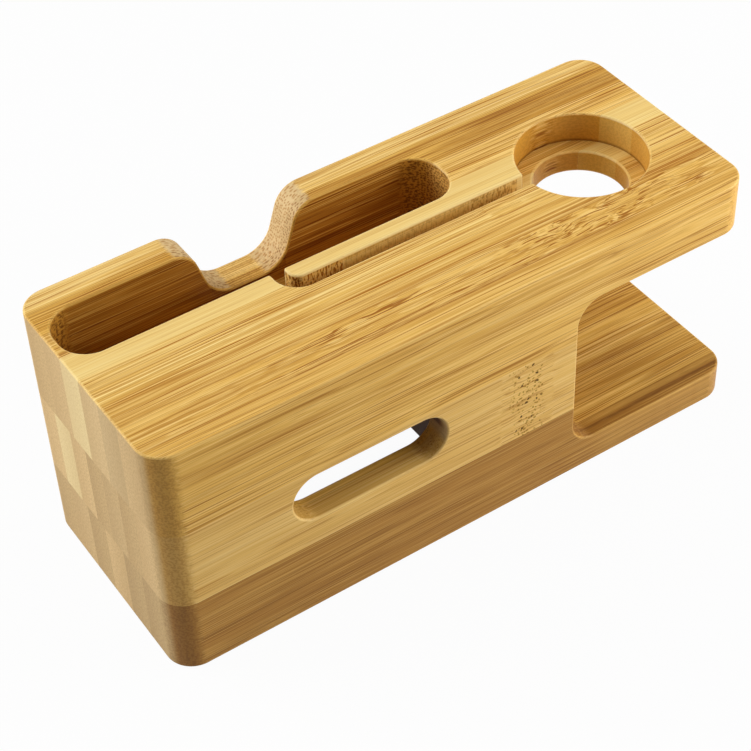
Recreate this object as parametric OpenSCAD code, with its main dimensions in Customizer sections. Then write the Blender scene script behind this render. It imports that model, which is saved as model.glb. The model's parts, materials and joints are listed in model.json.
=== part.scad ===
// Charging station organizer: a bamboo block that stands a phone in a slot and holds a watch charger puck.
// The block is glued up from three courses of upright strips and machined after gluing, so each strip
// carries its own share of the slot, groove, recess, openings and rounded corners.
// Millimetres, +Z up. The origin is the middle of the footprint, on the surface that the block stands on.
// The side with the cable window faces -Y, and the end with the watch arm faces +X.

/* [Block] */
// Length of the block, along X
body_l = 141; // [136:0.5:160]
// Depth of the block, along Y
body_w = 55; // [50:0.5:66]
// Height of the block
body_h = 60; // [56:0.5:72]
// Radius of the four upright corners
corner_r = 6; // [2:0.5:8]

/* [Lamination] */
// Height of the middle course of strips
middle_course_h = 19.8; // [16:0.1:21]
// Width of a whole strip in the top course
top_strip_w = 7.5; // [5:0.05:9]
// Width that is left of the top course's outer strip on the notch side
top_edge_w = 5; // [4:0.05:9]
// Width of a whole strip in the middle course
middle_strip_w = 6.5; // [5:0.05:9]
// Width that is left of the middle course's outer strip on the notch side
middle_edge_w = 5; // [3:0.05:9]
// Width of a whole strip in the base course
base_strip_w = 7.5; // [5:0.05:9]
// Width that is left of the base course's outer strip on the notch side
base_edge_w = 5; // [4:0.05:9]

/* [Phone slot] */
// Length of the phone slot
slot_l = 89.5; // [80:0.5:91]
// Width of the phone slot, across the phone's thickness
slot_w = 15; // [11:0.1:16]
// Depth of the phone slot
slot_depth = 17; // [15:0.1:19]
// Radius of the slot's four corners
slot_corner_r = 6.5; // [2:0.1:7]
// Wall between the slot and the block's left end
slot_end_wall = 1.8; // [1.5:0.1:6]
// Wall between the slot and the notch side of the block
slot_back_wall = 7.7; // [5:0.1:9]
// Floor between the slot and the cable pocket below it
slot_floor_t = 4.3; // [3:0.1:6]
// Length of the plug opening in the slot's floor
plug_opening_l = 20; // [14:0.5:30]
// Width of the plug opening in the slot's floor
plug_opening_w = 11; // [7:0.5:12]

/* [Screen notch] */
// Depth of the notch below the top face
notch_depth = 14; // [12:0.1:14.5]
// Length of the notch's flat floor
notch_floor_l = 6; // [4:0.5:16]
// Lean of the notch's flanks away from upright, in degrees
notch_lean = 18; // [10:1:25]
// Radius where a flank rolls over into the top face
notch_lip_r = 6; // [3:0.5:6.5]
// Radius where a flank runs into the floor
notch_fillet_r = 7; // [3:0.5:7]
// Distance of the notch's middle from the slot's middle, towards the watch arm
notch_offset = 1.7; // [0:0.1:6]

/* [Watch arm] */
// Wall between the phone slot and the band gap
post_wall = 5.9; // [4:0.1:10]
// Thickness of the arm that carries the puck
arm_t = 12.5; // [11:0.1:15]
// Thickness of the foot below the band gap
foot_t = 7.5; // [5:0.1:12]
// Radius of the band gap's two inner corners
band_gap_r = 6; // [2:0.5:10]

/* [Charger puck] */
// Diameter of the charger puck that the recess takes
puck_d = 28; // [26:0.1:30]
// Clearance around the puck, on the radius
puck_clearance = 0.1; // [0.05:0.05:0.5]
// Depth of the puck recess
recess_depth = 7.2; // [5:0.1:8]
// Wall between the recess and the end of the arm
recess_end_wall = 9; // [4:0.1:10]
// Diameter of the hole through the recess's floor, for pushing the puck out
push_hole_d = 20.4; // [12:0.1:24]

/* [Cable groove] */
// Width of the cable groove
groove_w = 3.2; // [2:0.1:4]
// Wall between the groove and the phone slot
groove_rail = 4; // [2.5:0.1:6]
// Radius of the groove's bend into the slot, along its middle
groove_bend_r = 4; // [2.5:0.1:4.5]

/* [Cable pocket and window] */
// Length of the cable pocket under the phone slot
pocket_l = 59; // [46:0.5:68]
// Wall between the pocket and the block's two long sides
pocket_wall = 6.4; // [4:0.1:9]
// Radius of the pocket's upright corners
pocket_corner_r = 6; // [2:0.5:8]
// Length of the cable window
window_l = 36.4; // [20:0.1:44]
// Height of the cable window, which is also the width across its round ends
window_h = 11.8; // [8:0.1:14]
// Distance from the window's upper edge up to the pocket's ceiling
window_drop = 1.5; // [1:0.1:4]

/* [Hidden] */
$fn = 96;
over = 1;                // how far a cutter runs past the face that it opens

left_x = -body_l / 2;
right_x = body_l / 2;
window_side_y = -body_w / 2;
notch_side_y = body_w / 2;

// the phone side: slot, notch, plug opening, pocket and window share one middle
slot_x = left_x + slot_end_wall + slot_l / 2;
slot_y = notch_side_y - slot_back_wall - slot_w / 2;
slot_floor_z = body_h - slot_depth;
pocket_ceiling_z = slot_floor_z - slot_floor_t;
window_z = pocket_ceiling_z - window_drop - window_h / 2;

// the pocket takes up the whole height of the two lower courses, so its ceiling is the joint above them
middle_top_z = pocket_ceiling_z;
base_top_z = middle_top_z - middle_course_h;

// the watch side
band_gap_x = left_x + slot_end_wall + slot_l + post_wall;
arm_under_z = body_h - arm_t;
recess_r = puck_d / 2 + puck_clearance;
recess_floor_z = body_h - recess_depth;
puck_x = right_x - recess_end_wall - recess_r;
groove_y = slot_y - slot_w / 2 - groove_rail - groove_w / 2;
groove_floor_z = recess_floor_z;

// the notch's profile from the middle of its floor: a fillet's circle, a leaning flank and a lip's circle
blend = 0.02;            // how far an arc crosses the line that it blends into, so that they meet in a true edge
flank_out = [cos(notch_lean), -sin(notch_lean)];
fillet_centre = [notch_floor_l / 2, notch_fillet_r];
lip_z = notch_depth + blend - notch_lip_r;
flank_reach = fillet_centre * flank_out + notch_fillet_r + notch_lip_r - 2 * blend;
lip_centre = [(flank_reach + lip_z * sin(notch_lean)) / cos(notch_lean), lip_z];

// bamboo shades, from the palest strips to the darkest
PALE = [0.91, 0.80, 0.53];
HONEY = [0.87, 0.70, 0.38];
GOLD = [0.82, 0.64, 0.32];
CARAMEL = [0.74, 0.53, 0.27];
UMBER = [0.62, 0.42, 0.21];
TOP_SHADES = [HONEY, CARAMEL, GOLD, PALE, HONEY, HONEY, GOLD, GOLD];
MIDDLE_SHADES = [HONEY, GOLD, PALE, GOLD, CARAMEL, GOLD, CARAMEL, GOLD, HONEY];
BASE_SHADES = [GOLD, CARAMEL, GOLD, CARAMEL, GOLD, CARAMEL, CARAMEL, UMBER];

// share of a strip's width below which the last one isn't laid, and the one before it is left wider
least_share = 0.35;

// how many strips a course takes, counted from the notch side
function strip_count(strip_w, edge_w) = 1 + ceil((body_w - edge_w) / strip_w - least_share);

// the joint on the window side of strip i, with strip 1 the outer one on the notch side
function joint_y(i, strip_w, edge_w) =
    i < 1 ? notch_side_y
    : i >= strip_count(strip_w, edge_w) ? window_side_y
    : notch_side_y - edge_w - (i - 1) * strip_w;

top_count = strip_count(top_strip_w, top_edge_w);
middle_count = strip_count(middle_strip_w, middle_edge_w);
base_count = strip_count(base_strip_w, base_edge_w);

// a rectangle about the origin with round corners
module rounded_rect(length, width, radius) {
    square([length - 2 * radius, width], center = true);
    square([length, width - 2 * radius], center = true);
    for (sx = [-1, 1], sy = [-1, 1])
        translate([sx * (length / 2 - radius), sy * (width / 2 - radius)]) circle(radius);
}

// a slot outline about the origin with half-round ends
module stadium(length, width) {
    square([length - width, width], center = true);
    for (sx = [-1, 1]) translate([sx * (length - width) / 2, 0]) circle(width / 2);
}

// turns an outline drawn in X and Z into a cutter that runs along +Y from y_from
module along_y(y_from, run) {
    translate([0, y_from + run, 0]) rotate([90, 0, 0]) linear_extrude(run) children();
}

module phone_slot() {
    translate([slot_x, slot_y, slot_floor_z])
        linear_extrude(slot_depth + over) rounded_rect(slot_l, slot_w, slot_corner_r);
}

module plug_opening() {
    translate([slot_x, slot_y, pocket_ceiling_z - over])
        linear_extrude(slot_floor_t + 2 * over) stadium(plug_opening_l, plug_opening_w);
}

// half of the notch's profile, from the middle of its floor to the right
module notch_half() {
    difference() {
        union() {
            polygon([
                [0, 0], [fillet_centre[0], 0], fillet_centre,
                fillet_centre + flank_out * (notch_fillet_r - blend),
                lip_centre - flank_out * (notch_lip_r - blend), lip_centre,
                [lip_centre[0], notch_depth + over], [0, notch_depth + over]
            ]);
            translate(fillet_centre) circle(notch_fillet_r);
        }
        translate(lip_centre) circle(notch_lip_r);
    }
}

// the notch runs from the middle of the slot out through the notch side
module screen_notch() {
    translate([slot_x + notch_offset, 0, body_h - notch_depth])
        along_y(slot_y, notch_side_y - slot_y + over)
            union() {
                notch_half();
                mirror([1, 0]) notch_half();
            }
}

module puck_recess() {
    translate([puck_x, groove_y, recess_floor_z]) cylinder(h = recess_depth + over, r = recess_r);
}

module push_hole() {
    translate([puck_x, groove_y, arm_under_z - over]) cylinder(h = arm_t + 2 * over, d = push_hole_d);
}

// the groove leaves the slot at its middle, bends and runs straight into the recess
module cable_groove() {
    bend_out_r = groove_bend_r + groove_w / 2;
    bend_in_r = groove_bend_r - groove_w / 2;
    bend_x = slot_x + groove_bend_r;
    bend_y = groove_y + groove_bend_r;
    translate([0, 0, groove_floor_z]) linear_extrude(recess_depth + over) {
        translate([bend_x, groove_y - groove_w / 2]) square([puck_x - bend_x, groove_w]);
        translate([slot_x - groove_w / 2, bend_y]) square([groove_w, slot_y - bend_y]);
        translate([bend_x, bend_y]) intersection() {
            difference() {
                circle(bend_out_r);
                circle(bend_in_r);
            }
            translate([-bend_out_r, -bend_out_r]) square(bend_out_r);
        }
    }
}

// the gap that the watch's band hangs in, open at the end and on both long sides
module band_gap() {
    gap_l = right_x + over - band_gap_x;
    gap_h = arm_under_z - foot_t;
    translate([band_gap_x, 0, foot_t]) along_y(window_side_y - over, body_w + 2 * over)
        union() {
            translate([band_gap_r, 0]) square([gap_l - band_gap_r, gap_h]);
            translate([0, band_gap_r]) square([band_gap_r, gap_h - 2 * band_gap_r]);
            for (z = [band_gap_r, gap_h - band_gap_r]) translate([band_gap_r, z]) circle(band_gap_r);
        }
}

// the pocket that hides the spare cable, open underneath
module cable_pocket() {
    translate([slot_x, 0, -over]) linear_extrude(pocket_ceiling_z + over)
        rounded_rect(pocket_l, body_w - 2 * pocket_wall, pocket_corner_r);
}

module cable_window() {
    translate([slot_x, 0, window_z])
        along_y(window_side_y - over, pocket_wall + pocket_corner_r + over) stadium(window_l, window_h);
}

// the whole block as machined, before it is thought of as strips
module machined_block() {
    difference() {
        linear_extrude(body_h) rounded_rect(body_l, body_w, corner_r);
        phone_slot();
        plug_opening();
        screen_notch();
        puck_recess();
        push_hole();
        cable_groove();
        band_gap();
        cable_pocket();
        cable_window();
    }
}

// the part of the block between two joints and two heights
module strip(y_from, y_to, z_from, z_to) {
    intersection() {
        machined_block();
        translate([left_x - over, y_from, z_from]) cube([body_l + 2 * over, y_to - y_from, z_to - z_from]);
    }
}

module top_strip(i) {
    color(TOP_SHADES[(i - 1) % len(TOP_SHADES)])
        strip(joint_y(i, top_strip_w, top_edge_w), joint_y(i - 1, top_strip_w, top_edge_w),
            middle_top_z, body_h);
}

module middle_strip(i) {
    color(MIDDLE_SHADES[(i - 1) % len(MIDDLE_SHADES)])
        strip(joint_y(i, middle_strip_w, middle_edge_w), joint_y(i - 1, middle_strip_w, middle_edge_w),
            base_top_z, middle_top_z);
}

module base_strip(i) {
    color(BASE_SHADES[(i - 1) % len(BASE_SHADES)])
        strip(joint_y(i, base_strip_w, base_edge_w), joint_y(i - 1, base_strip_w, base_edge_w),
            0, base_top_z);
}

for (i = [1:top_count])
    top_strip(i);
for (i = [1:middle_count])
    middle_strip(i);
for (i = [1:base_count])
    base_strip(i);
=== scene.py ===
"""A bamboo block that stands a phone in a slot and carries a watch charger's puck on its arm.

The block is glued up from three courses of strips and machined after gluing. Here it is machined again
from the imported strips' own sizes, its edges are eased, and it is cut back into its strips, so that each
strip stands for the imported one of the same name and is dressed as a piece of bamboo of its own.
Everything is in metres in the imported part's frame: +X towards the arm's free end, +Z up.
"""

from __future__ import annotations

import json
import logging
import math
from dataclasses import astuple, dataclass
from enum import Enum
from typing import Any

import bmesh
import bpy
from mathutils import Matrix, Vector

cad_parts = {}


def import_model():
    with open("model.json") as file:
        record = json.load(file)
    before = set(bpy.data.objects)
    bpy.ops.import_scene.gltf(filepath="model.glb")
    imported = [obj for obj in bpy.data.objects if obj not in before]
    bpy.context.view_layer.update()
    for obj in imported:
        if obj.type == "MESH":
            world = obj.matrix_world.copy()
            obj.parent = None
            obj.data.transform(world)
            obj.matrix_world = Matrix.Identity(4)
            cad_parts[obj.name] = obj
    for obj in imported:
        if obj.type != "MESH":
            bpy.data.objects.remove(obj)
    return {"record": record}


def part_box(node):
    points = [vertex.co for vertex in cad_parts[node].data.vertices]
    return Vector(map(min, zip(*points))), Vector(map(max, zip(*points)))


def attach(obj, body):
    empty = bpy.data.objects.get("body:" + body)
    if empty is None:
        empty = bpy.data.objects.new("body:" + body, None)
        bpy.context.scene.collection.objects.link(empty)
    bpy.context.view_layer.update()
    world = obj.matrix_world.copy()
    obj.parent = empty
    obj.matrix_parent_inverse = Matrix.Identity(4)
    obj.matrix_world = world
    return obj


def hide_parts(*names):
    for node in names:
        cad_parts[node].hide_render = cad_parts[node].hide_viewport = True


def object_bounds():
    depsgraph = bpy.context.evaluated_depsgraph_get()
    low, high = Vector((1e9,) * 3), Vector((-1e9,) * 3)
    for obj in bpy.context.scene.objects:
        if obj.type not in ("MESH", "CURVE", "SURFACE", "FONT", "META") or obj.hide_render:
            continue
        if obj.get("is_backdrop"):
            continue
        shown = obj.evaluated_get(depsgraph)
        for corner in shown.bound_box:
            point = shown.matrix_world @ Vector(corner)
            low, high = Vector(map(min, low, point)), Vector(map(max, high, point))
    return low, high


MM = 0.001
WELD = 1e-6  # Metres: points this close are one before the easing
TOUCH = 1e-7  # Metres: points this close are one after it
ARC_STEP = 3.75  # Degrees between an arc's points, at most
EASED = "eased"
log = logging.getLogger("charging_block")

Pair = tuple[float, float]
Triple = tuple[float, float, float]


def linear(*seen: int) -> Triple:
    """The light values of a colour that is given as it is seen on screen, from 0 to 255."""
    shares = [value / 255 for value in seen]
    return tuple(s / 12.92 if s <= 0.04045 else ((s + 0.055) / 1.055) ** 2.4 for s in shares)


def arc(centre: Pair, radius: float, start: float, stop: float) -> list[Pair]:
    """Points along an arc, both ends included.

    Args:
        centre: The arc's centre.
        radius: Its radius.
        start: Where it starts, in degrees.
        stop: Where it ends, in degrees, which may lie before the start.

    Returns:
        The points in order.
    """
    count = max(2, math.ceil(abs(stop - start) / ARC_STEP))
    angles = [math.radians(start + (stop - start) * i / count) for i in range(count + 1)]
    return [(centre[0] + radius * math.cos(a), centre[1] + radius * math.sin(a)) for a in angles]


def rounded_rect(middle: Pair, length: float, width: float, radius: float) -> list[Pair]:
    """The outline of a rectangle with round corners, anticlockwise.

    Args:
        middle: The rectangle's middle.
        length: Its size along the first axis.
        width: Its size along the second axis.
        radius: The radius of its corners.

    Returns:
        The outline's points.
    """
    half_l = length / 2 - radius
    half_w = width / 2 - radius
    points: list[Pair] = []
    for turn, (side_l, side_w) in enumerate(((1, 1), (-1, 1), (-1, -1), (1, -1))):
        centre = (middle[0] + side_l * half_l, middle[1] + side_w * half_w)
        points += arc(centre, radius, 90 * turn, 90 * turn + 90)
    return [p for i, p in enumerate(points) if math.dist(p, points[i - 1]) > TOUCH]


def circle(centre: Pair, radius: float) -> list[Pair]:
    """The outline of a circle, anticlockwise."""
    return arc(centre, radius, 0, 360 - ARC_STEP)


class Axis(Enum):
    """The direction in which an outline is drawn out into a solid."""

    Y = "y"
    Z = "z"


def prism(name: str, outline: list[Pair], axis: Axis, low: float, high: float) -> bpy.types.Object:
    """Draws an outline out into a closed solid.

    Args:
        name: The solid's name.
        outline: Points in X and Y for a solid along Z, or in X and Z for one along Y.
        axis: The direction in which the outline is drawn out.
        low: Where the solid starts along that direction.
        high: Where it ends.

    Returns:
        The solid as an object.
    """
    along_z = axis is Axis.Z
    rings = [[(u, v, at) if along_z else (u, at, v) for u, v in outline] for at in (low, high)]
    count = len(outline)
    faces = [list(range(count)), list(range(count, 2 * count))]
    faces += [[i, (i + 1) % count, count + (i + 1) % count, count + i] for i in range(count)]
    mesh = bpy.data.meshes.new(name)
    mesh.from_pydata(rings[0] + rings[1], [], faces)
    form = bmesh.new()
    form.from_mesh(mesh)
    bmesh.ops.recalc_face_normals(form, faces=form.faces)
    form.to_mesh(mesh)
    form.free()
    solid = bpy.data.objects.new(name, mesh)
    bpy.context.scene.collection.objects.link(solid)
    return solid


def combined(target: bpy.types.Object, tools: list[bpy.types.Object], operation: str) -> bpy.types.Mesh:
    """Cuts or intersects a solid with others.

    Args:
        target: The solid that is worked on, which stays as it was.
        tools: The solids that it is worked with, one after the other.
        operation: DIFFERENCE or INTERSECT.

    Returns:
        The resulting mesh.
    """
    for tool in tools:
        step = target.modifiers.new(tool.name, "BOOLEAN")
        step.operation = operation
        step.solver = "EXACT"
        step.object = tool
    bpy.context.view_layer.update()
    evaluated = target.evaluated_get(bpy.context.evaluated_depsgraph_get())
    mesh = bpy.data.meshes.new_from_object(evaluated)
    target.modifiers.clear()
    return mesh


def discard(solids: list[bpy.types.Object]) -> None:
    """Removes solids that were only needed as tools.

    Args:
        solids: The solids to remove.
    """
    for solid in solids:
        mesh = solid.data
        bpy.data.objects.remove(solid)
        bpy.data.meshes.remove(mesh)


@dataclass(frozen=True)
class Hollow:
    """A box round a machined hollow, with how its walls differ from the outside of the block.

    Their colour is multiplied by the tint, which is painted shade for the little light that reaches in,
    less so near the top by the share called rim. Torn is how much the ends of the fibres show on them,
    and ragged how rough they are everywhere. Foot is the height of a painted shade line along the foot
    of the wall, where it meets the floor. Soft is the width, in millimetres, over which all this sets in
    at the sides of the box.
    """

    box: tuple[Pair, Pair, Pair]
    tint: Triple
    rim: float = 0
    torn: float = 0
    ragged: float = 0
    foot: float = 0
    soft: float = 0.3

    def touches(self, low: Vector, high: Vector) -> bool:
        """Whether the box reaches into another box."""
        return all(start < high[i] and stop > low[i] for i, (start, stop) in enumerate(self.box))


@dataclass
class MachinedBlock:
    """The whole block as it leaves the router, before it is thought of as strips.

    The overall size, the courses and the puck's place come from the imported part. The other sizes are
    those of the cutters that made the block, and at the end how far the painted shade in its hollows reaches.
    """

    low: Vector
    high: Vector
    puck_axis: Pair
    puck_recess_r: float
    push_hole_r: float
    band_gap_x: float
    pocket_ceiling: float
    corner_r: float = 6 * MM
    slot_length: float = 89.5 * MM
    slot_width: float = 15 * MM
    slot_depth: float = 17 * MM
    slot_corner_r: float = 6.5 * MM
    slot_end_wall: float = 1.8 * MM
    slot_back_wall: float = 7.7 * MM
    plug_length: float = 20 * MM
    plug_width: float = 11 * MM
    notch_depth: float = 14 * MM
    notch_floor: float = 6 * MM
    notch_lean: float = 18
    notch_lip_r: float = 6 * MM
    notch_fillet_r: float = 7 * MM
    notch_run_out: float = 1
    notch_offset: float = 1.7 * MM
    arm_thickness: float = 12.5 * MM
    foot_thickness: float = 7.5 * MM
    gap_r: float = 6 * MM
    recess_depth: float = 7.2 * MM
    groove_width: float = 3.2 * MM
    groove_bend_r: float = 4 * MM
    pocket_length: float = 59 * MM
    pocket_wall: float = 6.4 * MM
    pocket_corner_r: float = 6 * MM
    window_length: float = 36.4 * MM
    window_height: float = 11.8 * MM
    window_drop: float = 1.5 * MM
    easing: float = 0.45 * MM
    easing_steps: int = 3
    edge_angle: float = 35
    over: float = 1 * MM
    skin: float = 0.35 * MM
    # How far the painted shade at the floor of the notch reaches, across and up
    notch_shade: float = 18 * MM
    notch_shade_height: float = 3 * MM
    groove_bend_reach: float = 13 * MM
    frayed_length: float = 13 * MM
    frayed_gap: float = 1 * MM
    # Painted shade in the window: how far it reaches at the near end, at the far end, and where its darkest
    # core starts
    window_shaded_end_length: float = 4 * MM
    window_dim_length: float = 6 * MM
    window_dim_depth: float = 4 * MM
    window_dark_inset: Triple = (1 * MM, 0.5 * MM, 3 * MM)

    @property
    def slot_middle(self) -> Pair:
        """The middle of the phone slot, in X and Y."""
        middle_x = self.low.x + self.slot_end_wall + self.slot_length / 2
        return middle_x, self.high.y - self.slot_back_wall - self.slot_width / 2

    @property
    def recess_floor(self) -> float:
        """The height of the puck's ledge, which is also the cable groove's floor."""
        return self.high.z - self.recess_depth

    @property
    def arm_underside(self) -> float:
        """The height of the arm's underside."""
        return self.high.z - self.arm_thickness

    @property
    def window_middle(self) -> float:
        """The height of the window's middle."""
        return self.pocket_ceiling - self.window_drop - self.window_height / 2

    def phone_slot(self) -> bpy.types.Object:
        """Makes the cutter of the phone slot.

        Returns:
            The cutter.
        """
        outline = rounded_rect(self.slot_middle, self.slot_length, self.slot_width, self.slot_corner_r)
        floor = self.high.z - self.slot_depth
        return prism("phone_slot", outline, Axis.Z, floor, self.high.z + self.over)

    def plug_opening(self) -> bpy.types.Object:
        """Makes the cutter of the plug's way from the slot down into the pocket.

        Returns:
            The cutter.
        """
        outline = rounded_rect(self.slot_middle, self.plug_length, self.plug_width, self.plug_width / 2)
        low = self.pocket_ceiling - self.over
        return prism("plug_opening", outline, Axis.Z, low, self.high.z - self.slot_depth + self.over)

    def screen_notch(self) -> bpy.types.Object:
        """Makes the cutter of the notch, whose flanks roll over into the top face.

        Returns:
            The cutter.
        """
        lean = self.notch_lean
        out = (math.cos(math.radians(lean)), -math.sin(math.radians(lean)))
        fillet = (self.notch_floor / 2, self.notch_fillet_r)
        lip_z = self.notch_depth - self.notch_lip_r
        reach = fillet[0] * out[0] + fillet[1] * out[1] + self.notch_fillet_r + self.notch_lip_r
        lip = ((reach - lip_z * out[1]) / out[0], lip_z)
        half = arc(fillet, self.notch_fillet_r, -90, -lean)
        half += arc(lip, self.notch_lip_r, 180 - lean, 90 + self.notch_run_out)
        half += [(half[-1][0], self.notch_depth + self.over)]
        floor = self.high.z - self.notch_depth
        middle = self.slot_middle[0] + self.notch_offset
        outline = [(middle + u, floor + v) for u, v in half]
        outline += [(middle - u, floor + v) for u, v in reversed(half)]
        low = self.slot_middle[1]
        return prism("screen_notch", outline, Axis.Y, low, self.high.y + self.over)

    def puck_recess(self) -> bpy.types.Object:
        """The cutter of the puck's recess."""
        outline = circle(self.puck_axis, self.puck_recess_r)
        return prism("puck_recess", outline, Axis.Z, self.recess_floor, self.high.z + self.over)

    def push_hole(self) -> bpy.types.Object:
        """Makes the cutter of the hole under the puck.

        Returns:
            The cutter.
        """
        outline = circle(self.puck_axis, self.push_hole_r)
        low = self.arm_underside - self.over
        return prism("push_hole", outline, Axis.Z, low, self.recess_floor + self.over)

    def cable_groove(self) -> bpy.types.Object:
        """Makes the cutter of the groove, from the slot's middle round its bend into the recess.

        Returns:
            The cutter.
        """
        half = self.groove_width / 2
        middle_x, slot_y = self.slot_middle
        puck_x, groove_y = self.puck_axis
        bend = (middle_x + self.groove_bend_r, groove_y + self.groove_bend_r)
        outline = [(middle_x - half, slot_y)]
        outline += arc(bend, self.groove_bend_r + half, 180, 270)
        outline += [(puck_x, groove_y - half), (puck_x, groove_y + half)]
        outline += arc(bend, self.groove_bend_r - half, 270, 180)
        outline += [(middle_x + half, slot_y)]
        return prism("cable_groove", outline, Axis.Z, self.recess_floor, self.high.z + self.over)

    def band_gap(self) -> bpy.types.Object:
        """Makes the cutter of the gap between the arm and the foot.

        Returns:
            The cutter.
        """
        low = self.foot_thickness
        high = self.arm_underside
        centre_x = self.band_gap_x + self.gap_r
        outline = arc((centre_x, high - self.gap_r), self.gap_r, 90, 180)
        outline += arc((centre_x, low + self.gap_r), self.gap_r, 180, 270)
        outline += [(self.high.x + self.over, low), (self.high.x + self.over, high)]
        return prism("band_gap", outline, Axis.Y, self.low.y - self.over, self.high.y + self.over)

    def cable_pocket(self) -> bpy.types.Object:
        """Makes the cutter of the pocket under the phone slot, which is open underneath.

        Returns:
            The cutter.
        """
        width = self.high.y - self.low.y - 2 * self.pocket_wall
        middle = (self.slot_middle[0], (self.low.y + self.high.y) / 2)
        outline = rounded_rect(middle, self.pocket_length, width, self.pocket_corner_r)
        return prism("cable_pocket", outline, Axis.Z, self.low.z - self.over, self.pocket_ceiling)

    def cable_window(self) -> bpy.types.Object:
        """Makes the cutter of the window through the wall between the pocket and the near side.

        Returns:
            The cutter.
        """
        middle = (self.slot_middle[0], self.window_middle)
        outline = rounded_rect(middle, self.window_length, self.window_height, self.window_height / 2)
        inside = self.low.y + self.pocket_wall + self.pocket_corner_r
        return prism("cable_window", outline, Axis.Y, self.low.y - self.over, inside)

    def hollows(self) -> list[Hollow]:
        """Lists the machined hollows, whose walls get painted shade where little light reaches in.

        Returns:
            The hollows, in the order in which they are painted.
        """

        def about(middle: float, half: float) -> Pair:
            """The extent that reaches as far to both sides of a middle."""
            return middle - half, middle + half

        skin = self.skin
        low, high = self.low, self.high
        ceiling = self.pocket_ceiling
        underside = self.arm_underside + skin
        slot_x, slot_y = self.slot_middle
        puck_x, puck_y = self.puck_axis
        half_width = self.slot_width / 2 + skin
        reach = self.puck_recess_r + skin
        rim = high.z - skin
        near = low.y + skin
        far = high.y - skin
        inner = low.y + self.pocket_wall - skin
        notch_x = about(slot_x + self.notch_offset, self.notch_shade / 2)
        notch_z = high.z - self.notch_depth
        bend_x = slot_x + self.groove_bend_reach
        frayed = (puck_x - reach - self.frayed_length, puck_x - reach - self.frayed_gap)
        groove_y = about(puck_y, self.groove_width / 2 + skin)
        groove_z = (self.recess_floor - skin, rim)
        groove_shade_tint = (0.92, 0.84, 0.64)
        start_x, stop_x = about(slot_x, self.window_length / 2)
        dim_x = stop_x - self.window_dim_length
        past_x = slot_x + self.window_length
        deep = inner + self.window_dim_depth
        inset_x, inset_y, inset_z = self.window_dark_inset
        phone_x = about(slot_x, self.slot_length / 2 + skin)
        phone = (phone_x, about(slot_y, half_width), (high.z - self.slot_depth - skin, rim))
        notch = (notch_x, (slot_y, high.y + skin), (notch_z - skin, notch_z + self.notch_shade_height))
        bend = ((slot_x - self.groove_width, bend_x), (groove_y[0], slot_y - half_width), groove_z)
        recess = (about(puck_x, reach), about(puck_y, reach), (underside, rim))
        gap_x = (self.band_gap_x - skin, high.x + skin)
        gap = (gap_x, (near, far), (self.foot_thickness - skin, underside))
        pocket_x = about(slot_x, self.pocket_length / 2 + skin)
        pocket = (pocket_x, (inner, far), (low.z - skin, ceiling + skin))
        window = ((start_x - skin, dim_x), (near, inner), (low.z, ceiling))
        shaded_end = ((start_x - skin, start_x + self.window_shaded_end_length), *window[1:])
        dim = ((dim_x, past_x), (near, deep), (low.z, high.z))
        dark_z = (self.window_middle - inset_z, high.z)
        dark = ((dim_x + inset_x, past_x), (near + inset_y, deep), dark_z)
        # Painted shade: each tint darkens a hollow's walls where little light reaches in; torn and ragged are
        # the wood's own texture
        return [
            Hollow(phone, (0.6, 0.42, 0.2), rim=0.3, torn=0.9),
            Hollow(notch, (0.86, 0.83, 0.78), ragged=0.2),
            Hollow(bend, (0.94, 0.78, 0.5), torn=0.7, ragged=0.95),
            Hollow(((bend_x, frayed[0]), groove_y, groove_z), groove_shade_tint, ragged=0.3),
            Hollow((frayed, groove_y, groove_z), groove_shade_tint, ragged=0.6),
            Hollow(recess, (0.8, 0.67, 0.39), torn=0.15, foot=self.recess_floor),
            Hollow(gap, (0.72, 0.62, 0.3)),
            Hollow(pocket, (0.2, 0.1, 0.03)),
            Hollow(window, (0.9, 0.82, 0.58)),
            # Painted shade on the window's near end
            Hollow(shaded_end, (0.66, 0.59, 0.41)),
            # Painted shade on the window's far end and beyond, which the light does not reach
            Hollow(dim, (0.55, 0.38, 0.18), soft=3),
            # Painted shade, darkest, deep in the window's far end
            Hollow(dark, (0.22, 0.11, 0.03), soft=3.5),
        ]

    def blank(self) -> bpy.types.Object:
        """Makes the block before any cutter has touched it.

        Returns:
            The blank.
        """
        size = self.high - self.low
        middle = ((self.low.x + self.high.x) / 2, (self.low.y + self.high.y) / 2)
        outline = rounded_rect(middle, size.x, size.y, self.corner_r)
        return prism("machined_block", outline, Axis.Z, self.low.z, self.high.z)

    def eased(self, mesh: bpy.types.Mesh) -> None:
        """Rounds every outward edge over a little, as sanding does.

        Args:
            mesh: The block's mesh, which is changed.
        """
        form = bmesh.new()
        form.from_mesh(mesh)
        bmesh.ops.remove_doubles(form, verts=form.verts, dist=WELD)
        bmesh.ops.dissolve_degenerate(form, dist=WELD, edges=form.edges)
        limit = math.radians(self.edge_angle)
        edges = [e for e in form.edges if e.is_manifold and e.is_convex and e.calc_face_angle() > limit]
        mark = form.faces.layers.float.new(EASED)
        rounded = bmesh.ops.bevel(
            form, geom=edges, offset=self.easing, segments=self.easing_steps, profile=0.5, affect="EDGES"
        )
        for face in rounded["faces"]:
            face[mark] = 1.0
        bmesh.ops.triangulate(form, faces=form.faces)
        bmesh.ops.remove_doubles(form, verts=form.verts, dist=TOUCH)
        form.to_mesh(mesh)
        form.free()

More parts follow.
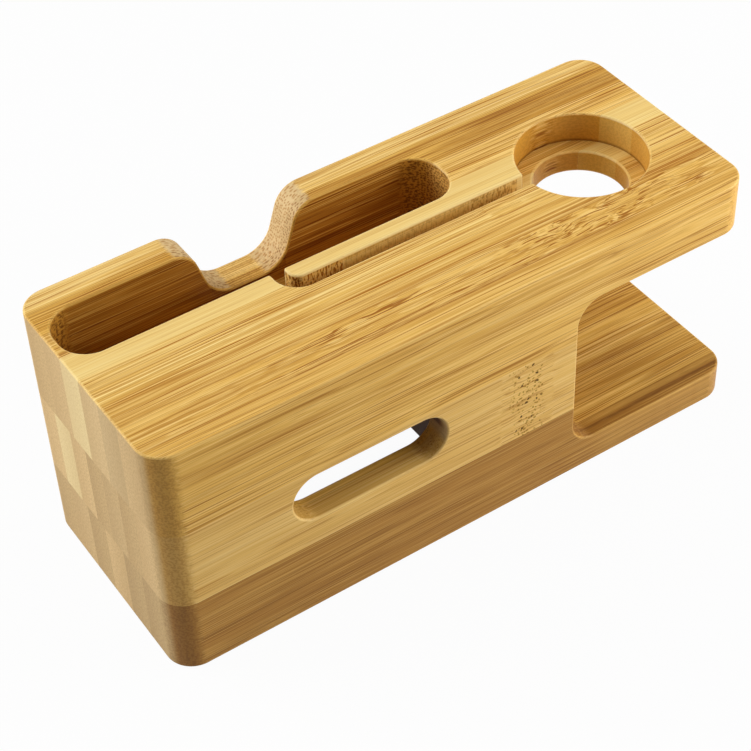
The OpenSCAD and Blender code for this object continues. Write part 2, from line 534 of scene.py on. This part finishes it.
    def build(self) -> bpy.types.Object:
        """Machines the blank and eases its edges.

        Returns:
            The block in one piece.
        """
        cutters = [self.phone_slot(), self.plug_opening(), self.screen_notch(), self.puck_recess()]
        cutters += [self.push_hole(), self.cable_groove(), self.band_gap()]
        cutters += [self.cable_pocket(), self.cable_window()]
        block = self.blank()
        rough = block.data
        block.data = combined(block, cutters, "DIFFERENCE")
        bpy.data.meshes.remove(rough)
        discard(cutters)
        self.eased(block.data)
        log.info("machined block: %d faces", len(block.data.polygons))
        return block


class Socket:
    """A value in a shader, with arithmetic that adds the Math nodes it needs."""

    def __init__(self, graph: Graph, output: bpy.types.NodeSocket | None) -> None:
        """Wraps an output of a node in the graph, or none for a node that has none."""
        self.graph = graph
        self.output = output

    def _math(self, operation: str, *values: Socket | float) -> Socket:
        """Adds a Math node with these values."""
        return self.graph.node("ShaderNodeMath", {"operation": operation}, dict(enumerate(values)))

    def __add__(self, other: Socket | float) -> Socket:
        """self + other, or other + self."""
        return self._math("ADD", self, other)

    __radd__ = __add__

    def __sub__(self, other: Socket | float) -> Socket:
        """self - other."""
        return self._math("SUBTRACT", self, other)

    def __rsub__(self, other: float) -> Socket:
        """other - self."""
        return self._math("SUBTRACT", other, self)

    def __mul__(self, other: Socket | float) -> Socket:
        """self * other, or other * self."""
        return self._math("MULTIPLY", self, other)

    __rmul__ = __mul__

    def __truediv__(self, other: Socket | float) -> Socket:
        """self / other."""
        return self._math("DIVIDE", self, other)

    def __abs__(self) -> Socket:
        """The value without its sign."""
        return self._math("ABSOLUTE", self)

    def highest(self, other: Socket | float) -> Socket:
        """The larger of the two values."""
        return self._math("MAXIMUM", self, other)

    def ramp(self, start: float, stop: float) -> Socket:
        """A smooth step of the value.

        Args:
            start: The value at which the step is 0.
            stop: The value at which it is 1, which may be the smaller one.

        Returns:
            A value from 0 to 1.
        """
        rising = int(start < stop)
        settings = {"interpolation_type": "SMOOTHSTEP", "clamp": True}
        values = {0: self, 1: min(start, stop), 2: max(start, stop), 3: 1 - rising, 4: rising}
        return self.graph.node("ShaderNodeMapRange", settings, values)


class Graph:
    """A material's or the world's nodes, built from expressions."""

    def __init__(self, owner: bpy.types.Material | bpy.types.World) -> None:
        """Empties the owner's node tree and keeps it.

        Args:
            owner: The material or world.
        """
        owner.use_nodes = True
        self.tree = owner.node_tree
        self.tree.nodes.clear()

    def node(
        self, kind: str, settings: dict[str, Any], inputs: dict[Any, Any], output: str | int = 0
    ) -> Socket:
        """Adds a node.

        Args:
            kind: The node's type.
            settings: What is set on the node itself, first.
            inputs: The values or links of its sockets, by name or place.
            output: The output that is wanted, by name or place.

        Returns:
            That output.
        """
        made = self.tree.nodes.new(kind)
        for name, value in settings.items():
            setattr(made, name, value)
        for name, value in inputs.items():
            if isinstance(value, Socket):
                self.tree.links.new(value.output, made.inputs[name])
            elif isinstance(value, tuple) and len(value) == 3 and made.inputs[name].type == "RGBA":
                made.inputs[name].default_value = (*value, 1)
            else:
                made.inputs[name].default_value = value
        return Socket(self, made.outputs[output] if len(made.outputs) else None)

    def mix(
        self, factor: Socket | float, low: Socket | Triple, high: Socket | Triple, blend: str = "MIX"
    ) -> Socket:
        """Lays the second colour on the first.

        Args:
            factor: How much of it is laid on.
            low: The first colour.
            high: The second colour.
            blend: The way of blending.

        Returns:
            The colour that they make.
        """
        settings = {"data_type": "RGBA", "blend_type": blend, "clamp_factor": True}
        return self.node("ShaderNodeMix", settings, {0: factor, 6: low, 7: high}, 2)

    def vector(self, operation: str, first: Socket | Triple, second: Socket | Triple) -> Socket:
        """What a Vector Math operation makes of two vectors."""
        return self.node("ShaderNodeVectorMath", {"operation": operation}, {0: first, 1: second})

    def parts(self, vector: Socket) -> tuple[Socket, Socket, Socket]:
        """The X, Y and Z of a vector."""
        x, y, z = self.node("ShaderNodeSeparateXYZ", {}, {0: vector}).output.node.outputs
        return Socket(self, x), Socket(self, y), Socket(self, z)

    def joined(self, x: Socket | float, y: Socket | float, z: Socket | float) -> Socket:
        """A vector from its X, Y and Z."""
        return self.node("ShaderNodeCombineXYZ", {}, {0: x, 1: y, 2: z})

    def noise(self, x: Socket, y: Socket | float, z: Socket | float) -> Socket:
        """Smooth noise at a place, with features about one unit across."""
        inputs = {"Vector": self.joined(x, y, z), "Scale": 1, "Detail": 1, "Roughness": 0.5}
        return self.node("ShaderNodeTexNoise", {"noise_dimensions": "3D"}, inputs)

    def cells(self, across: Socket, upward: Socket, spread: float = 1) -> Socket:
        """Measures from a place to the nearest of some scattered points, about one unit apart.

        Args:
            across: The place across the strip.
            upward: The place up the strip.
            spread: How far the points are scattered, where 0 is a square grid.

        Returns:
            The distance.
        """
        inputs = {"Vector": self.joined(across, upward, 0), "Scale": 1, "Randomness": spread}
        settings = {"feature": "F1", "voronoi_dimensions": "2D"}
        return self.node("ShaderNodeTexVoronoi", settings, inputs, "Distance")

    def looked_at(self) -> Socket:
        """Tells what the camera sees, directly or mirrored or through glass, from other light.

        Returns:
            1 for what it sees, or else 0.
        """
        kinds = ("Is Camera Ray", "Is Glossy Ray", "Is Transmission Ray")
        seen, mirrored, through = (self.node("ShaderNodeLightPath", {}, {}, kind) for kind in kinds)
        return seen.highest(mirrored).highest(through)


class Figure(Enum):
    """How a joint of the culm shows in a strip, and how far, in millimetres, the fibres swerve there."""

    SWIRL = 1.7
    PITS = 1.0


@dataclass(frozen=True)
class CulmJoint:
    """A joint of the bamboo culm in a strip, where the fibres swerve or the wood is pitted."""

    x: float
    half_width: float
    figure: Figure
    strength: float = 1


@dataclass(frozen=True)
class Streak:
    """A single line of the grain that stands out, pale if its strength is over 0 and dark if under."""

    y: float
    half_width: float
    start: float
    stop: float
    strength: float


@dataclass(frozen=True)
class Look:
    """How a single strip differs from its kind.

    Its colours are multiplied by the tint along the grain and by the value called end at its ends. A
    turned strip has its dense side on the low side, and a contrast takes the place of its course's.
    """

    tint: Triple = (1, 1, 1)
    end: float = 1
    turned: bool = False
    contrast: float | None = None
    joints: tuple[CulmJoint, ...] = ()
    streaks: tuple[Streak, ...] = ()


@dataclass(frozen=True)
class Shade:
    """The colours of one kind of bamboo: along the grain, its fibres, its pith and its end grain."""

    along: Triple
    fibre: Triple
    pith: Triple
    end: Triple
    end_fibre: Triple

    def toned(self, look: Look) -> Shade:
        """The same kind of bamboo with the colours of a single strip."""
        pairs = zip(astuple(self), (look.tint,) * 3 + ((look.end,) * 3,) * 2)
        return Shade(*(tuple(value * factor for value, factor in zip(*pair)) for pair in pairs))


def bamboo(*seen: tuple[int, int, int]) -> Shade:
    """A kind of bamboo from its colours as they are seen on screen, from 0 to 255."""
    return Shade(*(linear(*colour) for colour in seen))


SHADES: dict[str, Shade] = {
    "bamboo_pale": bamboo((242, 210, 130), (206, 158, 76), (251, 232, 168), (232, 208, 152), (206, 176, 122)),
    "bamboo_honey": bamboo(
        (231, 188, 101), (170, 110, 34), (250, 221, 149), (218, 188, 136), (184, 150, 100)
    ),
    "bamboo_gold": bamboo((226, 178, 86), (158, 98, 26), (247, 211, 132), (211, 180, 128), (174, 140, 92)),
    "bamboo_caramel": bamboo((212, 162, 74), (142, 86, 24), (238, 198, 116), (204, 173, 121), (164, 130, 84)),
    "bamboo_umber": bamboo((184, 132, 62), (120, 72, 24), (216, 170, 95), (193, 161, 112), (150, 116, 74)),
}

CONTRASTS: dict[str, float] = {"top": 1.0, "middle": 0.5, "base": 0.9}

LOOKS: dict[str, Look] = {
    "top_strip_1": Look(streaks=(Streak(23.7, 0.3, 20, 33, -0.6),)),
    "top_strip_2": Look((0.96, 0.91, 0.72), 1.07, streaks=(Streak(17.7, 2.8, 24, 75, -0.4),)),
    "top_strip_3": Look(end=1.05, streaks=(Streak(7.9, 0.3, 23, 33, -0.6),)),
    "top_strip_4": Look((0.95, 0.92, 0.88), contrast=0.45),
    "top_strip_5": Look(
        (0.98, 0.96, 0.88),
        joints=(CulmJoint(24, 6, Figure.SWIRL, 0.55),),
        streaks=(Streak(-2.0, 0.25, -66, -30, 0.7), Streak(-6.2, 0.28, -75, -12, 1.0)),
    ),
    "top_strip_6": Look(
        (0.93, 0.87, 0.72), 0.88, turned=True, streaks=(
            Streak(-7.7, 0.25, -75, 20, 1.0),
            Streak(-12.6, 0.25, 22, 75, -0.7),
            Streak(-13.9, 0.25, 22, 75, -0.8),
            Streak(-14.9, 0.25, 18, 60, -0.6),
        ),
    ),
    "top_strip_7": Look(
        (0.97, 0.96, 0.93), turned=True, joints=(
            CulmJoint(40, 30, Figure.SWIRL),
            CulmJoint(-30, 44, Figure.SWIRL, 0.35),
            CulmJoint(36, 14, Figure.SWIRL, 0.6),
        ),
        streaks=(
            Streak(-15.2, 0.25, -75, -30, -0.6),
            Streak(-18.4, 0.25, -75, -48, -0.6),
            Streak(-22.2, 0.3, -30, 35, -0.6),
        ),
    ),
    "top_strip_8": Look((0.96, 0.95, 0.93), contrast=0.75, streaks=(Streak(-22.65, 0.25, -38, 45, -0.9),)),
    "middle_strip_2": Look(end=1.12),
    "middle_strip_3": Look(turned=True),
    "middle_strip_4": Look(end=1.1),
    "middle_strip_6": Look(end=0.95),
    "middle_strip_8": Look(end=1.04),
    "middle_strip_9": Look((0.93, 0.91, 0.93), joints=(CulmJoint(14, 8, Figure.PITS),)),
    "base_strip_4": Look(end=0.97),
    "base_strip_5": Look(end=1.05, turned=True),
    "base_strip_6": Look(end=0.92, streaks=(Streak(-10.4, 1.3, 40, 75, -0.4),)),
    "base_strip_7": Look(end=0.91, streaks=(Streak(-19.6, 0.55, 31, 52, 1.0),)),
    "base_strip_8": Look(
        (0.96, 0.97, 0.84), turned=True, contrast=0.6, streaks=(
            Streak(-23.5, 1.1, 34, 75, 0.6),
            Streak(-25.1, 0.6, 30, 75, -0.75),
            # Painted highlight: pales the foot's front face and its upper edge, where the light catches them
            Streak(-27.5, 1.0, 34, 75, 0.2),
        ),
    ),
}


class Surface(Graph):
    """A wood shader's graph, with what it knows about the point that it colours.

    The place is in millimetres. Facing is how squarely the surface faces along the grain, sloped how far
    it faces up or down, cut how far it cuts across the fibres, sawn whether it is a sawn end, rounded
    whether it is a corner between an end and a long side, and eased whether it is a sanded edge.
    """

    def __init__(self, material: bpy.types.Material) -> None:
        """Empties the material and reads the point's place and normal.

        Args:
            material: The material.
        """
        super().__init__(material)
        metres = self.node("ShaderNodeTexCoord", {}, {}, "Object")
        self.place = self.parts(self.vector("MULTIPLY", metres, (1 / MM, 1 / MM, 1 / MM)))
        self.normal = self.parts(self.node("ShaderNodeNewGeometry", {}, {}, "Normal"))
        self.facing = abs(self.normal[0])
        self.sloped = abs(self.normal[2]).ramp(0.08, 0.2)
        self.cut = self.facing.ramp(0.05, 0.35)
        self.sawn = self.facing.ramp(0.82, 0.97)
        self.rounded = self.cut * (1 - self.sawn) * (1 - self.sloped)
        self.eased = self.node("ShaderNodeAttribute", {"attribute_name": EASED}, {}, "Fac")


@dataclass(frozen=True)
class Grain:
    """The fibres at a point: fine fuzz, broad bands, dark and pale hairs, and the bundles' cut ends."""

    fuzz: Socket
    band: Socket
    dark: Socket
    pale: Socket
    dots: Socket
    grit: Socket
    dense: Socket


@dataclass(frozen=True)
class BambooFinish:
    """Sanded bamboo under a thin satin lacquer.

    The fibres run along X right through the strip, so long faces show them as streaks, and faces that
    cut across them show them as dots. One side of a strip is denser and darker than the other. Places
    and sizes are in millimetres, a pair is a streak's width and length or where something starts and
    is full, and a share is how much of a layer of the grain is mixed in.
    """

    name: str
    shade: Shade
    look: Look
    seed: float
    contrast: float
    pale_side: float
    dense_side: float
    left_end: float
    hollows: tuple[Hollow, ...]
    hair: Pair = (0.3, 60)
    short_hair: Pair = (0.38, 12)
    fuzz: Pair = (0.21, 20)
    band: Pair = (2.2, 120)
    cluster: Pair = (1.4, 50)
    pale_offset: float = 0.22
    short_pale_offset: float = 0.28
    bundle: float = 0.66
    grit: float = 0.5
    pit: float = 0.95
    large_pit: float = 3.4
    streak_fade: float = 5
    flank_height: Pair = (41, 43)
    corner_shade_reach: Pair = (7, 5)
    band_share: float = 0.3
    dense_share: float = 0.14
    fuzz_share: float = 0.4
    pale_share: float = 0.68
    short_share: float = 0.9
    corner_shade_share: float = 0.72
    pit_share: float = 0.9
    foot_shade_share: float = 0.6
    eased_wear_and_highlight_share: float = 0.28
    corner_shade_tint: Triple = (0.76, 0.68, 0.56)
    pit_rim: Triple = (0.88, 0.8, 0.35)
    pit_hole: Triple = linear(66, 32, 0)
    ink: Triple = (0.2, 0.11, 0.05)
    char: Triple = (0.42, 0.25, 0.1)
    relief: float = 0.05 * MM

    def fibres(self, at: Surface, shift: float, across: Socket, upward: Socket, size: Pair) -> Socket:
        """Noise about 0.5, drawn out along the grain, where the shift tells one layer from another."""
        run = at.place[0] + (self.seed * 211 + shift)
        return at.noise(run / size[1], across / size[0], upward / size[0])

    def swerve(self, at: Surface) -> tuple[Socket, Socket, Socket | float]:
        """Bends the fibres gently, and strongly round the culm's joints.

        Args:
            at: The surface.

        Returns:
            The places across and up the strip, from which the fibres are drawn, and how far a joint
            shortens them.
        """
        x, y, z = at.place
        slow = at.noise(x / 55 + self.seed * 7.3, y / 8, z / 8) - 0.5
        across = y + slow * 1.4
        upward = z + slow * 0.8
        figured: Socket | float = 0.0
        for joint in self.look.joints:
            near = abs(x - joint.x).ramp(joint.half_width * 1.2, joint.half_width * 0.5) * joint.strength
            lens = at.noise(x / 9 + self.seed, y / 3, z / 3) - 0.5
            bend = near * lens * joint.figure.value
            across = across + bend
            upward = upward + bend
            figured = near.ramp(0.4, 0.7).highest(figured)
        return across, upward, figured

    def grain(self, at: Surface) -> Grain:
        """Draws the layers of the grain.

        Args:
            at: The surface.

        Returns:
            The layers.
        """
        x, y, z = at.place
        across, upward, figured = self.swerve(at)
        hair = self.fibres(at, 0, across, upward, self.hair)
        beside = self.fibres(at, 0, across + self.pale_offset, upward + self.pale_offset, self.hair)
        if isinstance(figured, Socket):
            offset = self.short_pale_offset
            short = self.fibres(at, 20, across, upward, self.short_hair)
            short_beside = self.fibres(at, 20, across + offset, upward + offset, self.short_hair)
            hair = hair + (short - hair) * figured * self.short_share
            beside = beside + (short_beside - beside) * figured * self.short_share
        cluster = self.fibres(at, 130, across, upward, self.cluster)
        return Grain(
            fuzz=self.fibres(at, 50, across, upward, self.fuzz),
            band=self.fibres(at, 90, across, upward, self.band),
            dark=hair.ramp(0.55, 0.63) * cluster.ramp(0.36, 0.56).highest(figured),
            pale=beside.ramp(0.56, 0.64),
            dots=at.cells(across / self.bundle, upward / self.bundle, 0.75).ramp(0.4, 0.2),
            grit=at.noise(x / self.grit, y / self.grit, z / self.grit),
            dense=y.ramp(self.pale_side, self.dense_side),
        )

    def along(self, at: Surface, grain: Grain, smooth: Socket) -> Socket:
        """The colour of the faces along the fibres.

        Args:
            at: The surface.
            grain: The layers of the grain.
            smooth: How far the surface shows lines rather than the grit of a rounded corner.

        Returns:
            The colour.
        """
        shade = self.shade
        calm = self.contrast * smooth
        colour = at.mix(grain.band.ramp(0.46, 0.66) * calm * self.band_share, shade.along, shade.fibre)
        colour = at.mix(grain.band.ramp(0.5, 0.32) * calm * self.band_share, colour, shade.pith)
        colour = at.mix(grain.dense * self.dense_share, colour, shade.fibre)
        colour = at.mix(grain.fuzz.ramp(0.5, 0.62) * calm * self.fuzz_share, colour, shade.fibre)
        colour = at.mix(grain.fuzz.ramp(0.48, 0.36) * calm * self.fuzz_share, colour, shade.pith)
        colour = at.mix(grain.pale * calm * self.pale_share, colour, shade.pith)
        colour = at.mix(grain.dark * calm, colour, shade.fibre)
        colour = self.streaked(at, colour)
        return at.mix(at.rounded * grain.grit.ramp(0.42, 0.62) * 0.35, colour, shade.fibre)

    def streaked(self, at: Surface, colour: Socket) -> Socket:
        """Draws the single pale and dark lines.

        Args:
            at: The surface.
            colour: The colour so far.

        Returns:
            The colour with the lines.
        """
        if not self.look.streaks:
            return colour
        x, y, _ = at.place
        fade = self.streak_fade
        waver = (at.noise(x / 12 + self.seed, 0, 0) - 0.5) * 0.35
        uneven = at.noise(x / 3 + self.seed, y / 0.4, 0).ramp(0.3, 0.6) * 0.35 + 0.65
        for streak in self.look.streaks:
            line = abs(y + waver - streak.y).ramp(streak.half_width, streak.half_width * 0.3)
            line = line * x.ramp(streak.start - fade, streak.start + fade)
            line = line * x.ramp(streak.stop + fade, streak.stop - fade) * uneven
            tone = self.shade.pith if streak.strength > 0 else self.shade.fibre
            colour = at.mix(line * abs(streak.strength), colour, tone)
        return colour

    def pitted(self, at: Surface, colour: Socket) -> Socket:
        """Adds the small dark holes where vessels end at a joint of the culm.

        Args:
            at: The surface.
            colour: The colour so far.

        Returns:
            The colour with the holes.
        """
        x, y, z = at.place
        wide = self.pit * self.large_pit
        for joint in (j for j in self.look.joints if j.figure is Figure.PITS):
            ragged = x + (at.noise(x / 3, y / 3, z / 2.5) - 0.5) * 5
            near = abs(ragged - joint.x).ramp(joint.half_width * 0.55, joint.half_width * 0.4)
            kept = at.noise(x / 1.4, y, z / 1.4)
            bent_x = x + (kept - 0.5) * 1.6
            small = at.cells(bent_x / self.pit, z / self.pit).ramp(0.33, 0.16)
            large = at.cells(bent_x / wide + 0.4, z / wide + 0.3).ramp(0.12, 0.07)
            holes = (small * kept.ramp(0.44, 0.54) * 0.55).highest(large) * near
            colour = at.mix(holes.ramp(0, 0.4), colour, self.pit_rim, "MULTIPLY")
            colour = at.mix(holes * self.pit_share, colour, self.pit_hole)
        return colour

    def hollowed(self, at: Surface, torn: Socket, fleck: Socket, colour: Socket) -> Socket:
        """Paints shade on the walls of the machined hollows, where little light reaches, and roughens them.

        Args:
            at: The surface.
            torn: The torn ends of the fibres.
            fleck: The pale fibres, which stay paler than the rest.
            colour: The bamboo's colour.

        Returns:
            The colour with the painted shade on the walls.
        """
        x, y, z = at.place
        cut = at.cut
        upright = 1 - at.sloped
        for hollow in self.hollows:
            inside: Socket | float = 1.0
            for value, (low, high) in zip(at.place, hollow.box):
                inside = value.ramp(low / MM, low / MM + hollow.soft) * inside
                inside = value.ramp(high / MM, high / MM - hollow.soft) * inside
            base, top = hollow.box[2]
            rise = z.ramp(base / MM, top / MM)
            if hollow.torn > 0:
                colour = at.mix(inside * cut * 0.8, colour, self.shade.along)
            # Painted shade: less on floors, which the lamps reach, and less near the top of the wall
            share = inside * (1 - fleck * (1 - cut) * 0.45) * (upright * 0.6 + 0.4)
            share = share * (1 - rise * (cut * hollow.torn * 0.35 + hollow.rim))
            colour = at.mix(share, colour, hollow.tint, "MULTIPLY")
            if hollow.torn > 0:
                colour = at.mix(inside * cut * torn * hollow.torn, colour, self.ink, "MULTIPLY")
            if hollow.ragged > 0:
                splinters = inside * hollow.ragged
                rough = at.noise(x / 0.42, y / 0.42, z / 1.3)
                colour = at.mix(splinters * rough.ramp(0.5, 0.58), colour, self.char, "MULTIPLY")
                colour = at.mix(splinters * rough.ramp(0.46, 0.38) * 0.5, colour, self.shade.along)
            # Painted shade: a dark line along the foot of the wall, in the crease where it meets the floor
            if hollow.foot > 0:
                above = z - hollow.foot / MM
                line = above.ramp(0.9, 0.2) * above.ramp(-0.3, 0)
                colour = at.mix(inside * upright * line * self.foot_shade_share, colour, self.ink, "MULTIPLY")
        return colour

    def build(self) -> bpy.types.Material:
        """Builds the material.

        Returns:
            The material.
        """
        material = bpy.data.materials.new(self.name)
        at = Surface(material)
        shade = self.shade
        grain = self.grain(at)
        grit = grain.grit
        smooth = 1 - at.rounded * 0.85
        end = at.mix(grain.dense * 0.3, shade.end, shade.end_fibre)
        end = at.mix(grit.ramp(0.42, 0.62) * 0.4, end, shade.end_fibre)
        end = at.mix(grain.dots * 0.2, end, shade.end_fibre)
        colour = at.mix(at.sawn, self.along(at, grain, smooth), end)

        ends = grain.dots * (0.5 + grit * 0.7)
        leaning = at.sloped * (at.facing + grain.fuzz * 0.3).ramp(0.24, 0.4)
        flank = leaning * at.place[2].ramp(*self.flank_height) * (1 - at.eased)
        freckled = at.mix(grit.ramp(0.45, 0.6) * 0.25, shade.end, shade.end_fibre)
        freckled = at.mix(ends * 0.75, freckled, shade.fibre)
        colour = at.mix(flank, colour, freckled)

        # Painted shade on the near left rounded corner, which the lamps barely reach
        start, full = (self.left_end + reach for reach in self.corner_shade_reach)
        near_left = at.place[0].ramp(start, full) * (0 - at.normal[1]).ramp(0, 0.1)
        corner = at.rounded * (0 - at.normal[0]).ramp(0, 0.5) * near_left
        colour = at.mix(corner * self.corner_shade_share, colour, self.corner_shade_tint, "MULTIPLY")
        colour = self.pitted(at, colour)
        torn = ends.highest(grit.ramp(0.5, 0.64) * 0.7)
        colour = self.hollowed(at, torn, grain.pale, colour)
        # Sanded edges are paler: partly real wear, partly a painted highlight where the edges catch the light
        colour = at.mix(at.eased * self.eased_wear_and_highlight_share, colour, shade.pith)

        height = (grain.fuzz * 0.4 + grain.pale * 0.2 - grain.dark * 0.5) * smooth
        bump = at.node("ShaderNodeBump", {}, {"Strength": 0.3, "Distance": self.relief, "Height": height})
        inputs = {
            "Base Color": colour,
            "Roughness": 0.42 + at.sawn.highest(flank) * 0.2 + grain.dark * 0.08,
            "Normal": bump,
            "IOR": 1.48,
            "Specular IOR Level": 0.14,
            "Coat Weight": 0.03,
            "Coat Roughness": 0.3,
        }
        shader = at.node("ShaderNodeBsdfPrincipled", {}, inputs)
        at.node("ShaderNodeOutputMaterial", {}, {"Surface": shader})
        return material


@dataclass
class Lamination:
    """The strips that the block is glued from, each cut out of the machined block."""

    record: dict[str, Any]
    low: Vector
    high: Vector
    hollows: list[Hollow]
    over: float = 1 * MM
    touch: float = 0.01 * MM
    sharp: float = 40
    seed_step: float = 1.37

    def cell(self, node: str) -> bpy.types.Object:
        """A box round one strip, whose sides are the glue joints and otherwise lie outside the block.

        Args:
            node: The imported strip's name.

        Returns:
            The box as a solid.
        """
        low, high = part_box(node)
        for i in (1, 2):
            if low[i] - self.low[i] < self.touch:
                low[i] = self.low[i] - self.over
            if self.high[i] - high[i] < self.touch:
                high[i] = self.high[i] + self.over
        west = self.low.x - self.over
        east = self.high.x + self.over
        outline = [(west, low.y), (east, low.y), (east, high.y), (west, high.y)]
        return prism("cell", outline, Axis.Z, low.z, high.z)

    def strip(self, block: bpy.types.Object, node: str, slot: str, seed: int) -> bpy.types.Object:
        """Cuts one strip out of the block and dresses it.

        Args:
            block: The machined block.
            node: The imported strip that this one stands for.
            slot: The record's material slot of the strip.
            seed: The strip's number, which sets where its grain starts.

        Returns:
            The strip.
        """
        cell = self.cell(node)
        mesh = combined(block, [cell], "INTERSECT")
        discard([cell])
        mesh.materials.clear()
        low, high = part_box(node)
        look = LOOKS.get(node, Look())
        sides = (high.y, low.y) if look.turned else (low.y, high.y)
        finish = BambooFinish(
            name=f"{node}_finish",
            shade=SHADES[slot].toned(look),
            look=look,
            seed=seed * self.seed_step,
            contrast=look.contrast or CONTRASTS[node.split("_")[0]],
            pale_side=sides[0] / MM,
            dense_side=sides[1] / MM,
            left_end=self.low.x / MM,
            hollows=tuple(h for h in self.hollows if h.touches(low, high)),
        )
        mesh.materials.append(finish.build())
        mesh.shade_smooth()
        mesh.set_sharp_from_angle(angle=math.radians(self.sharp))
        piece = bpy.data.objects.new(f"{node}_bamboo", mesh)
        bpy.context.scene.collection.objects.link(piece)
        level = piece.modifiers.new("level_faces", "WEIGHTED_NORMAL")
        level.keep_sharp = True
        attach(piece, "root")
        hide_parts(node)
        return piece

    def build(self, block: bpy.types.Object) -> None:
        """Cuts the block into all its strips.

        Args:
            block: The machined block, which is removed afterwards.
        """
        for seed, part in enumerate(self.record["subparts"], start=1):
            piece = self.strip(block, part["node"], part["material_slot"], seed)
            log.info("%s: %d faces", piece.name, len(piece.data.polygons))
        discard([block])


@dataclass
class Studio:
    """The white table, the lamps and the camera, whose eye and target are in millimetres."""

    width: float = 3.0
    ambient: float = 0.18
    paper: float = 0.6
    whiteness: float = 0.96
    aim_height: float = 30 * MM
    eye: Triple = (-167.335, -259.162, 317.549)
    target: Triple = (-5.743, -1.010, 25.923)
    roll: float = -2.528
    sensor: float = 36
    lens: float = 96.362
    clip_start: float = 0.01

    def floor(self) -> None:
        """Lays the white surface that the block stands on, which takes its shadow."""
        half = self.width / 2
        mesh = bpy.data.meshes.new("table_top")
        corners = [(-half, -half, 0), (half, -half, 0), (half, half, 0), (-half, half, 0)]
        mesh.from_pydata(corners, [], [[0, 1, 2, 3]])
        material = bpy.data.materials.new("white_table")
        graph = Graph(material)
        shown = graph.looked_at() * self.whiteness
        white = graph.node("ShaderNodeEmission", {}, {"Color": (1.0, 1.0, 1.0), "Strength": 1.0})
        paper = graph.node("ShaderNodeBsdfDiffuse", {}, {"Color": (self.paper,) * 3})
        surface = graph.node("ShaderNodeMixShader", {}, {0: shown, 1: paper, 2: white})
        graph.node("ShaderNodeOutputMaterial", {}, {"Surface": surface})
        mesh.materials.append(material)
        floor = bpy.data.objects.new("table_top", mesh)
        bpy.context.scene.collection.objects.link(floor)
        floor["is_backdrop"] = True

    def world(self) -> None:
        """Makes the world white where it is seen, and a soft fill elsewhere."""
        world = bpy.data.worlds.new("studio")
        bpy.context.scene.world = world
        graph = Graph(world)
        strength = graph.looked_at() * (1 - self.ambient) + self.ambient
        sky = graph.node("ShaderNodeBackground", {}, {"Color": (1.0, 1.0, 1.0), "Strength": strength})
        graph.node("ShaderNodeOutputWorld", {}, {"Surface": sky})

    def lamp(self, name: str, direction: Triple, distance: float, size: float, level: float) -> None:
        """Hangs a square soft box that points at the block.

        Args:
            name: The lamp's name.
            direction: Where it hangs, seen from the block.
            distance: How far away it hangs.
            size: The length of its sides.
            level: How bright a white surface that faces it is, where 1 is white.
        """
        data = bpy.data.lights.new(name, "AREA")
        data.shape = "SQUARE"
        data.size = size
        data.energy = level * math.pi**2 * distance**2
        lamp = bpy.data.objects.new(name, data)
        bpy.context.scene.collection.objects.link(lamp)
        towards = Vector(direction).normalized()
        lamp.location = towards * distance + Vector((0, 0, self.aim_height))
        lamp.rotation_euler = towards.to_track_quat("Z", "Y").to_euler()

    def camera(self) -> None:
        """Stands the camera where the photograph was taken from."""
        data = bpy.data.cameras.new("camera")
        data.sensor_width = self.sensor
        data.lens = self.lens
        data.clip_start = self.clip_start
        camera = bpy.data.objects.new("camera", data)
        bpy.context.scene.collection.objects.link(camera)
        eye = Vector(self.eye) * MM
        roll = math.radians(self.roll)
        forward = (Vector(self.target) * MM - eye).normalized()
        level = forward.cross(Vector((0, 0, 1))).normalized()
        upright = level.cross(forward)
        right = level * math.cos(roll) + upright * math.sin(roll)
        turn = Matrix((right, right.cross(forward), -forward)).transposed().to_4x4()
        camera.matrix_world = Matrix.Translation(eye) @ turn
        bpy.context.scene.camera = camera

    def build(self) -> None:
        """Sets the table, the lamps and the camera."""
        self.camera()
        self.floor()
        self.world()
        self.lamp("overhead_box", (-0.1, 0.15, 1), 0.7, 0.8, 0.43)
        self.lamp("left_box", (-0.72, 0.66, 0.45), 0.8, 0.5, 0.88)
        self.lamp("right_box", (0.8, -0.55, 0.3), 0.4, 0.3, 1.05)
        bpy.context.scene.view_settings.view_transform = "Standard"
        log.info("studio: table, three soft boxes and the camera")


def main() -> None:
    """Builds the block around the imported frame."""
    logging.basicConfig(level=logging.INFO, format="%(name)s: %(message)s")
    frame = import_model()
    cad_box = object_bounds()
    record = frame["record"]
    low, high = (Vector(corner) for corner in cad_box)
    mounts = {mount["name"]: mount for mount in record["mounts"]}
    recess = mounts["puck_recess"]
    Studio().build()
    machined = MachinedBlock(
        low=low,
        high=high,
        puck_axis=(recess["pos_m"][0], recess["pos_m"][1]),
        puck_recess_r=recess["dims"]["r_mm"] * MM,
        push_hole_r=mounts["push_hole"]["dims"]["r_mm"] * MM,
        band_gap_x=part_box("middle_strip_1")[1].x,
        pocket_ceiling=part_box("middle_strip_1")[1].z,
    )
    Lamination(record, low, high, machined.hollows()).build(machined.build())
    log.info("lamination: %d strips", len(record["subparts"]))


if __name__ == "__main__":
    main()
